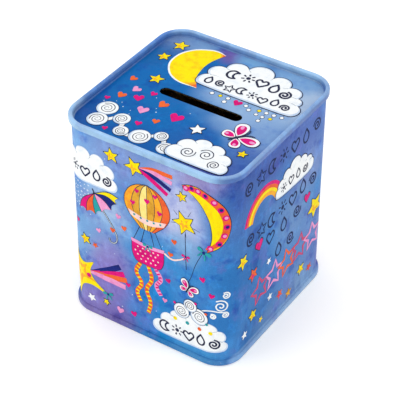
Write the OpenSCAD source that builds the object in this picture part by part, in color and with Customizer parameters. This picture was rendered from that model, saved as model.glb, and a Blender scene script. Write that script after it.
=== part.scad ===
// Square tin money box: three tinplate pressings rolled together, and a push-in stopper underneath.
// Origin at the centre of the foot ring, on the table. +Z is up, the front faces -Y, the lock seam is at the back.
// Every sheet profile is drawn as (outwards from the wall's outer face, height) and swept round the tin.

/* [Tin] */
// Width across the two side walls
tin_w = 78; // [64:1:100]
// Depth from the front wall to the back wall
tin_d = 80; // [64:1:100]
// Height from the table to the top of the rim
tin_h = 96; // [60:1:150]
// Radius of the upright corners, outside
corner_r = 10.5; // [9:0.5:14]
// Thickness of the tinplate
sheet_t = 0.3; // [0.26:0.01:0.32]

/* [Top seam] */
// Height of the rolled rim
seam_h = 3; // [2.6:0.1:4]
// Depth of the lid panel below the top of the rim
panel_drop = 2.8; // [2.2:0.1:4]
// Room between the folded layers
fold_gap = 0.1; // [0.08:0.01:0.12]

/* [Coin slot] */
// Length of the slot over its round ends
slot_l = 38; // [30:1:48]
// Width of the slot
slot_w = 5; // [4.6:0.1:6]
// Depth of the lip turned down round the slot
slot_lip = 1; // [0.6:0.1:2]

/* [Foot ring] */
// How far the foot ring stands out from the wall
foot_out = 1.2; // [1.1:0.1:1.6]
// Height of the foot ring
foot_h = 2.8; // [2.6:0.1:3.4]
// Width of the flat hem that the tin stands on
hem_w = 2.6; // [2.2:0.1:4]

/* [Lock seam] */
// Width of the folded seam inside the back wall
lock_w = 4; // [3:0.5:6]
// How far the lock seam stops short of the top and the bottom
lock_end = 7; // [6:1:12]

/* [Base] */
// Distance from the wall to the step in the base plate
step_in = 4; // [3:0.5:8]
// Rise of the base plate's middle above its edge
step_rise = 1.2; // [0.8:0.1:2]
// Radius of the round hole that the stopper fills
hole_r = 19; // [15:0.5:22]
// Height of the lip round that hole
hole_lip = 1.8; // [1:0.1:3]

/* [Stopper] */
// How far the stopper's flange reaches past the hole
flange_over = 3.5; // [2:0.5:5]
// Thickness of the flange
flange_t = 1.6; // [1.2:0.1:1.8]
// Thickness of the stopper's walls
plug_wall = 1.3; // [1:0.1:2]
// Depth that the stopper reaches into the tin, above its flange
plug_h = 6.8; // [5:0.1:12]
// Radial room between the stopper's ribs and the hole
rib_fit = 0.05; // [0.02:0.01:0.09]
// Thickness of the finger bar
bar_t = 2.4; // [1.6:0.1:4]

/* [Hidden] */
$fn = 96;

flat_x = tin_w / 2 - corner_r; // half length of a straight run along X
flat_y = tin_d / 2 - corner_r; // half length of a straight run along Y
bend_in = 0.3; // inside radius of the foot ring's bends
bend_out = bend_in + sheet_t;

// Top seam: the layers from the wall outwards are cover hook, body hook and seaming wall
cover_hook = fold_gap; // inner face of the cover hook
body_hook = 2 * fold_gap + sheet_t; // inner face of the body hook
seam_wall = 3 * fold_gap + 2 * sheet_t; // inner face of the seaming wall
chuck_wall = -sheet_t - fold_gap; // outer face of the wall that drops to the panel
bead_o = body_hook / 2; // centre line of the round top of the rim
bead_r = seam_wall + sheet_t - bead_o; // outside radius of the round top
bead_z = tin_h - bead_r;
seam_z = tin_h - seam_h; // lower edge of the rim
curl_r = (seam_wall - cover_hook - sheet_t) / 2; // inside radius of the rim's lower curl
curl_o = cover_hook + sheet_t + curl_r;
curl_z = seam_z + curl_r + sheet_t;
panel_z = tin_h - panel_drop; // upper face of the lid panel
panel_bend = 0.5; // inside radius where the panel turns up

// Foot ring and base plate
shoulder_z = foot_h - sheet_t; // underside of the foot ring's shoulder
edge_z = shoulder_z - fold_gap; // upper face of the base plate's edge
edge_o = foot_out - sheet_t - fold_gap; // outer face of the base plate's edge
rim_z = sheet_t + 0.2; // lower end of the base plate's edge
base_z = edge_z + step_rise; // upper face of the base plate's middle
lock_t = 3 * sheet_t; // three folded layers behind the wall

// Stopper
flange_top = base_z - sheet_t - fold_gap;
flange_z = flange_top - flange_t;
plug_r = hole_r - 0.5;
rib_r = hole_r - rib_fit;
plug_top = flange_top + plug_h;
cap_t = 1.1; // thickness of the stopper's closed end
lead_in = 0.8; // chamfer at the stopper's closed end
rib_hs = [0.9, 3.4]; // lower edges of the two ribs above the flange
rib_w = 1;
grip_n = 5; // ridges on each side of the finger bar
grip_r = 0.35;

// Sweeps a profile round the tin's four walls and four corners
module around() {
    for (turn = [0, 180]) {
        rotate([0, 0, turn]) translate([-flat_x, tin_d / 2, 0]) run(2 * flat_x) children();
        rotate([0, 0, turn - 90]) translate([-flat_y, tin_w / 2, 0]) run(2 * flat_y) children();
        rotate([0, 0, turn]) {
            translate([flat_x, flat_y, 0]) bend_corner(0) children();
            translate([-flat_x, flat_y, 0]) bend_corner(90) children();
        }
    }
}

module run(length) {
    rotate([90, 0, 90]) linear_extrude(length) children();
}

module bend_corner(turn) {
    rotate([0, 0, turn]) rotate_extrude(angle = 90) translate([corner_r, 0]) children();
}

// A rectangle of sheet between two corners of the profile
module strip(o_low, z_low, o_high, z_high) {
    translate([o_low, z_low]) square([o_high - o_low, z_high - z_low]);
}

// A bend of sheet about (o, z): quarter 0 lies outwards and up, and the others follow anticlockwise
module bend(o, z, r, quarters) {
    reach = r + sheet_t;
    translate([o, z]) for (q = quarters) rotate(90 * q) intersection() {
        difference() {
            circle(reach);
            circle(r);
        }
        square(reach + 1);
    }
}

// A flat plate with the tin's own outline, moved outwards by o
module plate(o, thickness) {
    linear_extrude(thickness) {
        square([2 * flat_x, tin_d + 2 * o], center = true);
        square([tin_w + 2 * o, 2 * flat_y], center = true);
        for (x = [-flat_x, flat_x], y = [-flat_y, flat_y]) translate([x, y]) circle(corner_r + o);
    }
}

// Outline of the coin slot, larger by o all round
module slot_outline(o) {
    reach = (slot_l - slot_w) / 2;
    square([2 * reach, slot_w + 2 * o], center = true);
    for (x = [-reach, reach]) translate([x, 0]) circle(slot_w / 2 + o);
}

module body_profile() {
    // hook over the top, inside the rim
    strip(body_hook, curl_z, body_hook + sheet_t, bead_z);
    bend(bead_o, bead_z, bead_o, [0, 1]);
    // wall
    strip(-sheet_t, foot_h + bend_in, 0, bead_z);
    // foot ring: out, down and hemmed in under the base plate
    bend(bend_in, foot_h + bend_in, bend_in, [2]);
    strip(bend_in, shoulder_z, foot_out - bend_out, foot_h);
    bend(foot_out - bend_out, foot_h - bend_out, bend_in, [0]);
    strip(foot_out - sheet_t, bend_out, foot_out, foot_h - bend_out);
    bend(foot_out - bend_out, bend_out, bend_in, [3]);
    strip(foot_out - hem_w, 0, foot_out - bend_out, sheet_t);
}

module body_shell() {
    lock_y = tin_d / 2 - sheet_t - lock_t;
    color("royalblue") difference() {
        union() {
            around() body_profile();
            // folded layers of the lock seam, behind the back wall
            translate([-lock_w / 2, lock_y, lock_end])
                cube([lock_w, lock_t + sheet_t / 2, tin_h - 2 * lock_end]);
        }
        // fine line that the lock seam leaves outside
        translate([lock_w / 2 - 0.1, tin_d / 2 - sheet_t / 2, lock_end])
            cube([0.2, sheet_t, tin_h - 2 * lock_end]);
    }
}

module rim_profile() {
    // cover hook, lower curl and seaming wall
    strip(cover_hook, curl_z, cover_hook + sheet_t, bead_z);
    bend(curl_o, curl_z, curl_r, [2, 3]);
    strip(seam_wall, curl_z, seam_wall + sheet_t, bead_z);
    // round top, then down to the panel
    bend(bead_o, bead_z, bead_r - sheet_t, [0, 1]);
    strip(chuck_wall - sheet_t, panel_z + panel_bend, chuck_wall, bead_z);
    bend(chuck_wall - sheet_t - panel_bend, panel_z + panel_bend, panel_bend, [3]);
}

module top_end() {
    color("cornflowerblue") difference() {
        union() {
            around() rim_profile();
            translate([0, 0, panel_z - sheet_t]) plate(chuck_wall - sheet_t - panel_bend, sheet_t);
            translate([0, 0, panel_z - slot_lip]) linear_extrude(slot_lip - sheet_t / 2) slot_outline(sheet_t);
        }
        translate([0, 0, panel_z - slot_lip - 1]) linear_extrude(slot_lip + 2) slot_outline(0);
    }
}

module edge_profile() {
    riser = -step_in; // outer face of the step
    strip(edge_o - sheet_t, rim_z, edge_o, edge_z - bend_out);
    bend(edge_o - bend_out, edge_z - bend_out, bend_in, [0]);
    strip(riser + bend_in, edge_z - sheet_t, edge_o - bend_out, edge_z);
    bend(riser + bend_in, edge_z + bend_in, bend_in, [2]);
    strip(riser - sheet_t, edge_z + bend_in, riser, base_z - bend_out);
    bend(riser - bend_out, base_z - bend_out, bend_in, [0]);
}

module base_plate() {
    color("lightsteelblue") difference() {
        union() {
            around() edge_profile();
            translate([0, 0, base_z - sheet_t]) plate(-step_in - bend_out, sheet_t);
            translate([0, 0, base_z - sheet_t]) cylinder(r = hole_r + sheet_t, h = hole_lip + sheet_t);
        }
        translate([0, 0, base_z - 1]) cylinder(r = hole_r, h = hole_lip + 2);
    }
}

// One rib of the stopper, a flat land with sloping sides
module rib(z) {
    rotate_extrude() translate([0, z])
        polygon([[plug_r - 0.4, 0], [plug_r, 0], [rib_r, 0.3], [rib_r, rib_w - 0.3], [plug_r, rib_w], [plug_r - 0.4, rib_w]]);
}

module base_stopper() {
    cup_r = plug_r - plug_wall;
    cup_top = plug_top - cap_t;
    color("ivory") {
        difference() {
            union() {
                translate([0, 0, flange_z + 0.5]) cylinder(r = hole_r + flange_over, h = flange_t - 0.5);
                translate([0, 0, flange_z])
                    cylinder(r1 = hole_r + flange_over - 0.5, r2 = hole_r + flange_over, h = 0.5);
                translate([0, 0, flange_z]) cylinder(r = plug_r, h = plug_top - lead_in - flange_z);
                translate([0, 0, plug_top - lead_in]) cylinder(r1 = plug_r, r2 = plug_r - lead_in, h = lead_in);
                for (z = rib_hs) rib(flange_top + z);
            }
            translate([0, 0, flange_z - 1]) cylinder(r = cup_r, h = cup_top - flange_z + 1);
        }
        // finger bar across the hollow, with upright grip ridges
        translate([-cup_r - plug_wall / 2, -bar_t / 2, flange_z + 0.4])
            cube([2 * cup_r + plug_wall, bar_t, cup_top - flange_z]);
        for (i = [0:grip_n - 1], side = [-1, 1])
            translate([(i - (grip_n - 1) / 2) * 3, side * bar_t / 2, flange_z + 1.4])
                cylinder(r = grip_r, h = cup_top - flange_z - 1);
    }
}

body_shell();
top_end();
base_plate();
base_stopper();
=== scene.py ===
import math
import random
import bmesh
import bpy
from mathutils import Matrix, Vector


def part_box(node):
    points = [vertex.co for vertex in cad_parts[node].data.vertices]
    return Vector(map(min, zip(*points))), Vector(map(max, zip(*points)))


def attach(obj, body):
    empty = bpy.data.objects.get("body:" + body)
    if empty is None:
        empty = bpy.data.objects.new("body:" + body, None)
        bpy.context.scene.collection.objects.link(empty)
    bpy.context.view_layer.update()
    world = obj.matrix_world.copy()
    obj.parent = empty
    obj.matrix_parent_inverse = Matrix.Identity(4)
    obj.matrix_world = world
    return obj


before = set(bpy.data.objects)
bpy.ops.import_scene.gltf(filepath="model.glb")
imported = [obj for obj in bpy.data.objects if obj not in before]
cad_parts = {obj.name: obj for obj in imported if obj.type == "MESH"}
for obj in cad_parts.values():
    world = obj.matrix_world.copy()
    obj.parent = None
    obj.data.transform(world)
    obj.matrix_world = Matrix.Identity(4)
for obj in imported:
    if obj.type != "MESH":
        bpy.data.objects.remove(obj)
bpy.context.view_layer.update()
hand = random.Random(11)  # the small unevenness of painted shapes

# the tin's own sizes in millimetres, beside the ones that the frame's boxes give
tin = {"footOut": 1.2, "footHeight": 2.8, "cornerRadius": 10.5, "panelDrop": 2.8}
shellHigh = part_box("body_shell")[1] * 1000
halfX = shellHigh.x - tin["footOut"]
halfY = shellHigh.y - tin["footOut"]
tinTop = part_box("top_end")[1].z * 1000
panelZ = tinTop - tin["panelDrop"]
flatX = halfX - tin["cornerRadius"]
flatY = halfY - tin["cornerRadius"]
cornerRun = math.pi / 2 * tin["cornerRadius"]


def tone(screen):  # a screen colour as the linear values that nodes hold
    parts = [value / 255 for value in screen]
    return tuple(v / 12.92 if v <= 0.04045 else ((v + 0.055) / 1.055) ** 2.4 for v in parts) + (1.0,)


class level:  # a number that varies over the surface and takes ordinary arithmetic
    def __init__(self, finish, socket):
        self.finish = finish
        self.socket = socket

    def maths(self, operation, *values):
        made = self.finish.node("ShaderNodeMath", {"operation": operation}, values)
        return level(self.finish, made.outputs[0])

    def __add__(self, other):
        return self.maths("ADD", self, other)

    def __radd__(self, other):
        return self.maths("ADD", other, self)

    def __sub__(self, other):
        return self.maths("SUBTRACT", self, other)

    def __rsub__(self, other):
        return self.maths("SUBTRACT", other, self)

    def __mul__(self, other):
        return self.maths("MULTIPLY", self, other)

    def __rmul__(self, other):
        return self.maths("MULTIPLY", other, self)

    def __gt__(self, other):
        return self.maths("GREATER_THAN", self, other)

    def __lt__(self, other):
        return self.maths("LESS_THAN", self, other)

    def either(self, other):
        return self.maths("MAXIMUM", self, other)

    def size(self):
        return self.maths("ABSOLUTE", self)

    def root(self):
        return self.maths("SQRT", self)


class finish:  # one material and the nodes that paint it
    def __init__(self, name):
        self.material = bpy.data.materials.new(name)
        self.material.use_nodes = True
        self.tree = self.material.node_tree
        self.shader = self.tree.nodes["Principled BSDF"]
        place = self.node("ShaderNodeTexCoord").outputs["Object"]
        self.place = self.vector("SCALE", place, Scale=1000.0)  # object coordinates in millimetres

    def give(self, socket, value):
        value = value.socket if isinstance(value, level) else value
        if isinstance(value, bpy.types.NodeSocket):
            self.tree.links.new(value, socket)
        else:
            socket.default_value = value

    def node(self, kind, settings=None, values=()):
        made = self.tree.nodes.new(kind)
        for name, value in (settings or {}).items():
            setattr(made, name, value)
        given = values.items() if isinstance(values, dict) else enumerate(values)
        for name, value in given:
            self.give(made.inputs[name], value)
        return made

    def vector(self, operation, *values, **named):
        given = {**dict(enumerate(values)), **named}
        return self.node("ShaderNodeVectorMath", {"operation": operation}, given).outputs[0]

    def distance(self, a, b):
        made = self.node("ShaderNodeVectorMath", {"operation": "DISTANCE"}, (a, b))
        return level(self, made.outputs["Value"])

    def parts(self, vector):
        return [level(self, socket) for socket in self.node("ShaderNodeSeparateXYZ", None, (vector,)).outputs]

    def noise(self, size, detail=3.0, stretch=(1, 1, 1), rough=0.5, place=None):  # size is in millimetres
        spread = self.vector("MULTIPLY", place or self.place, tuple(part / size for part in stretch))
        given = {"Vector": spread, "Scale": 1.0, "Detail": detail, "Roughness": rough}
        return self.node("ShaderNodeTexNoise", None, given)

    def cloudy(self, size, detail=3.0, **more):
        return level(self, self.noise(size, detail, **more).outputs[0])

    def warped(self, size, reach):  # the place pushed about, so that washes get uneven edges
        push = self.vector("SUBTRACT", self.noise(size, 2.0).outputs[1], (0.5, 0.5, 0.5))
        return self.vector("ADD", self.place, self.vector("SCALE", push, Scale=2.0 * reach))

    def fade(self, value, start, end, low=0.0, high=1.0):
        kind = {"interpolation_type": "SMOOTHSTEP"}
        made = self.node("ShaderNodeMapRange", kind, (value, start, end, low, high))
        return level(self, made.outputs[0])

    def mix(self, share, under, over, how="MIX"):  # three numbers are a screen colour
        under, over = (tone(c) if isinstance(c, tuple) and len(c) == 3 else c for c in (under, over))
        kind = {"data_type": "RGBA", "blend_type": how}
        made = self.node("ShaderNodeMix", kind, {0: share, 6: under, 7: over})
        return made.outputs[2]

    def grey(self, value):
        return self.node("ShaderNodeCombineXYZ", None, (value, value, value)).outputs[0]

    def paint(self, **sockets):
        for name, value in sockets.items():
            self.give(self.shader.inputs[name.replace("_", " ")], value)

    def bump(self, height, depth):  # depth is in millimetres
        made = self.node("ShaderNodeBump", None, {"Height": height, "Distance": depth / 1000})
        self.paint(Normal=made.outputs[0])


def aroundWall(run):  # a distance round the wall from the front's middle, as (foot point, outward direction)
    rightStart = flatX + cornerRun
    backCorner = rightStart + 2 * flatY
    backStart = backCorner + cornerRun
    total = 4 * (flatX + flatY + cornerRun)
    run = (run + total / 2) % total - total / 2
    side = 1 if run >= 0 else -1
    run = abs(run)
    if run <= flatX:
        point, outward = Vector((run, -halfY)), Vector((0, -1))
    elif run <= rightStart:
        angle = (run - flatX) / tin["cornerRadius"]
        outward = Vector((math.sin(angle), -math.cos(angle)))
        point = Vector((flatX, -flatY)) + outward * tin["cornerRadius"]
    elif run <= backCorner:
        point, outward = Vector((halfX, -flatY + run - rightStart)), Vector((1, 0))
    elif run <= backStart:
        angle = (run - backCorner) / tin["cornerRadius"]
        outward = Vector((math.cos(angle), math.sin(angle)))
        point = Vector((flatX, flatY)) + outward * tin["cornerRadius"]
    else:
        point, outward = Vector((flatX - (run - backStart), halfY)), Vector((0, 1))
    return Vector((side * point.x, point.y)), Vector((side * outward.x, outward.y))


def onWall(run, height, lift=0.0):
    foot, outward = aroundWall(run)
    point = foot + outward * lift
    return Vector((point.x, point.y, height))


def onLid(x, y, lift=0.0):
    return Vector((x, y, panelZ + lift))


lacquer = {
    "roughness": 0.36, "mottle": 0.12, "shine": 0.025, "coatRoughness": 0.14,
    "coat": 0.04, "rimCoat": 0.6, "footCoat": 0.25,
}


def gloss(made):  # the varnish is a little duller in places
    return lacquer["roughness"] + (made.cloudy(9, 2.0) - 0.5) * lacquer["mottle"]


def washed(made, look, put):  # big loose washes of colour laid over each other
    place = made.warped(16, look["edge"])
    colour = look["ground"]
    for u, v, reach, strength, wash in look["washes"]:
        near = made.fade(made.distance(place, put(u, v)), reach * 0.25, reach, strength, 0.0)
        colour = made.mix(near, colour, wash)
    return colour


brush = {
    "bloom": (112, 100, 186), "light": (214, 232, 250), "dark": (16, 40, 120),
    "bloomShare": 0.26, "lightShare": 0.46, "darkShare": 0.42, "grainShare": 0.26,
}


def brushed(made, colour, strength, bloom=brush["bloomShare"]):  # the streaks and blooms of a loaded brush
    bend = made.warped(11, 3.0)
    streaks = made.cloudy(2.6, 4.0, stretch=(1, 1, 0.28), rough=0.62, place=bend)
    across = made.cloudy(3.4, 3.0, stretch=(0.3, 0.3, 1), rough=0.6, place=bend)
    pools = made.cloudy(8, 3.0, rough=0.6)
    blooms = made.cloudy(12, 4.0, rough=0.62)
    grain = made.grey(made.cloudy(0.45, 2.0, rough=0.7))
    light = made.fade(streaks * 0.6 + across * 0.4, 0.48, 0.68, 0.0, brush["lightShare"] * strength)
    dark = made.fade(pools, 0.5, 0.3, 0.0, brush["darkShare"] * strength)
    colour = made.mix(made.fade(blooms, 0.54, 0.7, 0.0, bloom * strength), colour, brush["bloom"])
    colour = made.mix(light, colour, brush["light"], "SOFT_LIGHT")
    colour = made.mix(dark, colour, brush["dark"], "SOFT_LIGHT")
    return made.mix(brush["grainShare"] * strength, colour, grain, "SOFT_LIGHT")


goldLacquer = {"pale": (214, 190, 138), "deep": (188, 160, 104), "roughness": 0.34}


def goldTin(made):  # lacquered tinplate with the fine grain of rolled sheet
    grain = made.cloudy(0.6, 4.0, stretch=(0.06, 1, 1), rough=0.7)
    stain = made.cloudy(14, 3.0)
    darker = made.fade(stain * 0.6 + grain * 0.4, 0.35, 0.65)
    colour = made.mix(darker, goldLacquer["pale"], goldLacquer["deep"])
    return colour, goldLacquer["roughness"] + (grain - 0.5) * 0.25


def scuffed(made, colour, band, amount):  # worn spots along a folded edge, where band is 1
    spots = made.fade(made.cloudy(1.1, 4.0, rough=0.7), 0.6, 0.7) * band * amount
    return made.mix(spots, colour, (226, 232, 240))


def wallDistance(made):  # how far a point lies outside the wall's outer face, with the point's x, y and z
    x, y, z = made.parts(made.place)
    outX = (x.size() - flatX).either(0.0)
    outY = (y.size() - flatY).either(0.0)
    return (outX * outX + outY * outY).root() - tin["cornerRadius"], x, y, z


def fromAxis(made):  # how far a point lies from the tin's upright axis
    return made.distance(made.vector("MULTIPLY", made.place, (1, 1, 0)), (0, 0, 0))


def painted(made, look, colour, printed, coat):  # varnished print, with bare gold lacquer where printed is 0
    gold, goldRough = goldTin(made)
    rough = gloss(made) * printed + goldRough * (1 - printed)
    made.paint(Base_Color=made.mix(printed, gold, colour), Metallic=1 - printed, Roughness=rough)
    made.paint(Coat_Weight=coat.either(lacquer["coat"]) * printed)
    made.paint(Coat_Roughness=lacquer["coatRoughness"], Specular_IOR_Level=lacquer["shine"])
    made.bump(made.cloudy(look["waveSize"], 1.0), look["waveDepth"])
    return made.material


wallPrint = {
    "ground": (66, 128, 196), "edge": 5.0, "brush": 1.25, "dim": (250, 250, 246), "wear": 0.22,
    # footPaintedLight is painted light on the right wall's foot ring, footPaintedShade is painted shade on
    # the foot ring elsewhere
    "footPaintedLight": (170, 204, 236), "footPaintedLightShare": 0.34, "footPaintedShade": (236, 230, 232),
    "waveSize": 22, "waveDepth": 0.12,
    "washes": [  # (run round the wall, height, reach, strength, colour): front, right, back, left
        (-34, 82, 24, 0.9, (124, 168, 222)), (-12, 88, 20, 0.85, (128, 148, 204)),
        (14, 86, 20, 0.8, (156, 164, 214)), (16, 70, 20, 0.9, (184, 190, 226)),
        (27, 92, 15, 0.8, (148, 134, 188)), (-19, 58, 19, 0.9, (164, 188, 224)),
        (2, 44, 16, 0.5, (84, 150, 208)), (18, 46, 18, 0.7, (52, 132, 198)),
        (19, 55, 11, 0.6, (128, 166, 208)), (-21, 44, 15, 0.6, (100, 148, 206)),
        (-20, 34, 17, 0.75, (146, 136, 194)), (-17, 22, 19, 0.9, (128, 110, 184)),
        (-26, 4, 20, 0.9, (134, 118, 186)), (4, 26, 19, 0.85, (20, 118, 190)),
        (4, 6, 18, 0.9, (22, 128, 196)), (26, 6, 16, 0.8, (66, 146, 206)), (-13, 3, 12, 0.7, (114, 98, 172)),
        (36, 24, 18, 0.8, (42, 112, 182)), (39, 44, 15, 0.7, (38, 112, 182)),
        (39, 72, 14, 0.7, (78, 112, 178)), (-38, 40, 18, 0.5, (146, 186, 226)),
        (-2, 12, 12, 0.5, (92, 118, 190)), (48, 86, 20, 0.9, (56, 84, 160)),
        (60, 78, 16, 0.7, (70, 112, 178)), (70, 90, 22, 0.85, (66, 86, 164)),
        (92, 86, 22, 0.85, (84, 106, 180)), (96, 66, 18, 0.8, (124, 144, 198)),
        (52, 62, 18, 0.85, (58, 104, 172)), (52, 40, 20, 0.9, (40, 104, 174)),
        (74, 62, 18, 0.7, (86, 122, 182)), (64, 26, 18, 0.7, (62, 108, 172)),
        (86, 46, 20, 0.75, (108, 142, 192)), (56, 8, 20, 0.8, (46, 102, 168)),
        (88, 14, 24, 0.75, (98, 130, 188)), (102, 30, 18, 0.6, (110, 138, 194)),
        (68, 0, 18, 0.8, (100, 136, 186)), (92, 0, 20, 0.9, (120, 152, 196)),
        (118, 78, 24, 0.85, (86, 112, 184)), (134, 56, 24, 0.8, (50, 122, 190)),
        (146, 86, 24, 0.85, (116, 104, 184)), (158, 66, 22, 0.85, (160, 166, 216)),
        (176, 84, 24, 0.8, (96, 134, 200)), (140, 20, 26, 0.85, (26, 112, 184)),
        (166, 30, 26, 0.8, (108, 118, 190)), (180, 10, 22, 0.8, (88, 86, 170)),
        (120, 12, 22, 0.8, (112, 92, 174)), (-104, 84, 24, 0.85, (108, 104, 182)),
        (-78, 86, 24, 0.8, (88, 140, 204)), (-58, 72, 22, 0.85, (156, 184, 224)),
        (-92, 60, 22, 0.8, (66, 132, 198)), (-72, 44, 22, 0.8, (120, 154, 208)),
        (-98, 26, 24, 0.85, (32, 110, 184)), (-66, 16, 24, 0.85, (114, 98, 178)),
        (-50, 52, 18, 0.7, (98, 144, 204)), (-86, 6, 20, 0.8, (38, 126, 192)),
    ],
}


def makeWallPrint():
    look = wallPrint
    made = finish("wallPrint")
    colour = brushed(made, washed(made, look, onWall), look["brush"])
    out, x, _, z = wallDistance(made)
    ring = z < tin["footHeight"] + 0.05
    right = made.fade(x, 37, 39)
    colour = made.mix(1.0, colour, look["dim"], "MULTIPLY")
    # painted light: the foot ring of the right wall is lightened towards the bottom
    colour = made.mix(right * made.fade(z, 4.5, 2.8) * look["footPaintedLightShare"], colour, look["footPaintedLight"])
    # painted shade: the foot ring is darkened everywhere but on the right wall
    colour = made.mix((1 - right) * ring, colour, look["footPaintedShade"], "MULTIPLY")
    colour = scuffed(made, colour, ring * (out > 0.9), look["wear"])
    # on the foot ring the print covers the outer skin, the step down to it and both bends
    onRing = (out > 1.05).either(z < 0.15).either((out > -0.15) * (z > 2.65)).either((out + z) > 3.42)
    printed = (out > -0.15) * (1 - ring) + ring * onRing
    return painted(made, look, colour, printed, ring * lacquer["footCoat"])


lidPrint = {
    "ground": (0, 116, 190), "edge": 4.5, "brush": 1.1, "bloom": 0.1, "rimBrush": 0.6, "wear": 0.35,
    # rimRightShade is painted shade on the rim's right side
    "rim": (140, 173, 202), "rimRightShade": (66, 102, 164), "rimLeft": (62, 108, 178), "rimBack": (76, 118, 184),
    # crestHighlight is a painted highlight along the rim's top, chuckWallShade is painted shade inside the
    # recess
    "crestHighlight": (146, 180, 220), "pale": (206, 224, 244), "chuckWallShade": (24, 62, 132),
    "waveSize": 20, "waveDepth": 0.08,
    "washes": [  # (x, y, reach, strength, colour)
        (-20, -12, 32, 0.9, (0, 118, 188)), (-34, 10, 20, 0.85, (0, 120, 194)),
        (-36, -30, 20, 0.8, (18, 80, 154)), (-34, 34, 15, 0.9, (140, 166, 202)),
        (-22, 37, 12, 0.9, (146, 186, 226)), (-36, 20, 12, 0.6, (24, 106, 164)),
        (-9, 37, 9, 0.95, (132, 100, 170)), (2, 38, 11, 0.95, (146, 200, 240)),
        (11, 9, 23, 1.0, (168, 206, 242)), (26, 4, 25, 1.0, (172, 208, 242)),
        (36, 24, 20, 1.0, (206, 230, 250)), (22, 38, 18, 0.95, (152, 198, 240)),
        (35, -8, 19, 1.0, (146, 184, 230)), (36, -24, 16, 0.85, (84, 120, 188)),
        (24, -36, 17, 0.9, (92, 96, 172)), (10, -22, 16, 0.8, (34, 104, 178)),
        (0, -4, 14, 0.6, (10, 122, 192)), (-6, -36, 16, 0.7, (8, 90, 166)),
    ],
}


def makeLidPrint():
    look = lidPrint
    made = finish("lidPrint")
    panel = brushed(made, washed(made, look, onLid), look["brush"], look["bloom"])
    out, x, y, z = wallDistance(made)
    left = made.fade(x, -35.5, -38) * made.fade(y, -32, -22)
    back = made.fade(y * -1.0 + x * 0.5, -26, -46)
    # painted highlight: the top of the rim is lightened, except on the left
    crestHighlight = made.fade(z, tinTop - 1.1, tinTop - 0.2) * (1 - left)
    pale = made.fade(made.cloudy(7, 3.0), 0.42, 0.62)
    # painted shade: the rim darkens towards the right side
    rim = made.mix(made.fade(x, 29, 38), look["rim"], look["rimRightShade"])
    rim = made.mix(left * 0.85, rim, look["rimLeft"])
    rim = made.mix(back * 0.6, rim, look["rimBack"])
    rim = made.mix(crestHighlight * 0.6, rim, look["crestHighlight"])
    rim = made.mix(pale * 0.55, rim, look["pale"], "SOFT_LIGHT")
    rim = brushed(made, rim, look["rimBrush"])
    onRim = made.fade(out, -1.5, -0.9) * (z > panelZ - 0.2)
    # painted shade: the chuck wall in the recess under the rim is darkened
    chuckWallShade = made.fade(out, -0.35, -0.65) * made.fade(z, panelZ + 1.6, panelZ + 0.3)
    colour = made.mix(onRim, panel, rim)
    colour = made.mix(chuckWallShade * 0.45, colour, look["chuckWallShade"])
    colour = scuffed(made, colour, made.fade(z, tinTop - 0.5, tinTop - 0.1), look["wear"])
    printed = 1 - (z < panelZ - 0.2) * (out < -0.5)
    return painted(made, look, colour, printed, onRim * lacquer["rimCoat"])


baseLacquer = {"rub": (226, 222, 208), "rubShare": 0.35, "grainDepth": 0.006}


def makeBaseLacquer():
    made = finish("baseLacquer")
    colour, rough = goldTin(made)
    ring = made.fade(fromAxis(made), 21.8, 23.2)
    rub = made.fade(made.cloudy(1.4, 4.0, rough=0.7), 0.6, 0.74) * (1 - ring * 0.7)
    colour = made.mix(rub * baseLacquer["rubShare"], colour, baseLacquer["rub"])
    made.paint(Base_Color=colour, Metallic=1.0, Roughness=rough + rub * 0.12)
    made.bump(made.cloudy(0.5, 3.0, stretch=(0.08, 1, 1)), baseLacquer["grainDepth"])
    return made.material


stopperPlastic = {
    "pale": (234, 234, 228), "deep": (226, 227, 222), "dust": (176, 172, 158), "dustShare": 0.22,
    "roughness": 0.4, "soft": 0.3, "softReach": 0.002, "softTint": (1.0, 0.95, 0.85), "grainDepth": 0.006,
}


def makeStopperPlastic():
    look = stopperPlastic
    made = finish("stopperPlastic")
    colour = made.mix(made.fade(made.cloudy(9, 2.0), 0.3, 0.7), look["pale"], look["deep"])
    across = fromAxis(made)
    corner = made.fade(across, 15.6, 17.1) * made.fade(across, 18.0, 17.2)  # dust that settles inside the cup
    dust = corner * made.fade(made.cloudy(2.2, 3.0), 0.45, 0.7) * look["dustShare"]
    rough = look["roughness"] + (made.cloudy(1.6, 3.0) - 0.5) * 0.16
    made.paint(Base_Color=made.mix(dust, colour, look["dust"]), Roughness=rough)
    made.paint(
        Subsurface_Weight=look["soft"],
        Subsurface_Scale=look["softReach"],
        Subsurface_Radius=look["softTint"],
    )
    made.bump(made.cloudy(0.35, 2.0), look["grainDepth"])
    return made.material


makers = {
    "body_shell": makeWallPrint, "top_end": makeLidPrint,
    "base_plate": makeBaseLacquer, "base_stopper": makeStopperPlastic,
}
for nodeName, makeFinish in makers.items():
    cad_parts[nodeName].material_slots[0].material = makeFinish()
print("tin and stopper finished")


inkTones = {  # each ink's main tone and the tone that it pools to
    "yellow": ((251, 231, 6), (247, 194, 24)), "amber": ((250, 176, 44), (232, 124, 48)),
    "gold": ((226, 168, 52), (176, 118, 36)), "cream": ((255, 232, 140), (248, 206, 96)),
    "orange": ((240, 104, 50), (216, 78, 44)), "magenta": ((226, 18, 124), (188, 16, 104)),
    "pink": ((240, 158, 206), (222, 118, 182)), "blush": ((250, 218, 210), (240, 188, 190)),
    "teal": ((44, 160, 166), (24, 118, 140)), "navy": ((26, 40, 122), (20, 30, 90)),
    "white": ((248, 251, 252), (226, 235, 244)), "mist": ((208, 224, 244), (176, 200, 234)),
    "pen": ((44, 48, 76), (28, 30, 52)), "silver": ((186, 196, 206), (140, 154, 172)),
    "dusk": ((18, 38, 86), (10, 28, 72)), "rose": ((206, 74, 112), (168, 64, 128)),
}
inkLimit = 0.87  # keeps pale inks below full white
inks = {}


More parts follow.
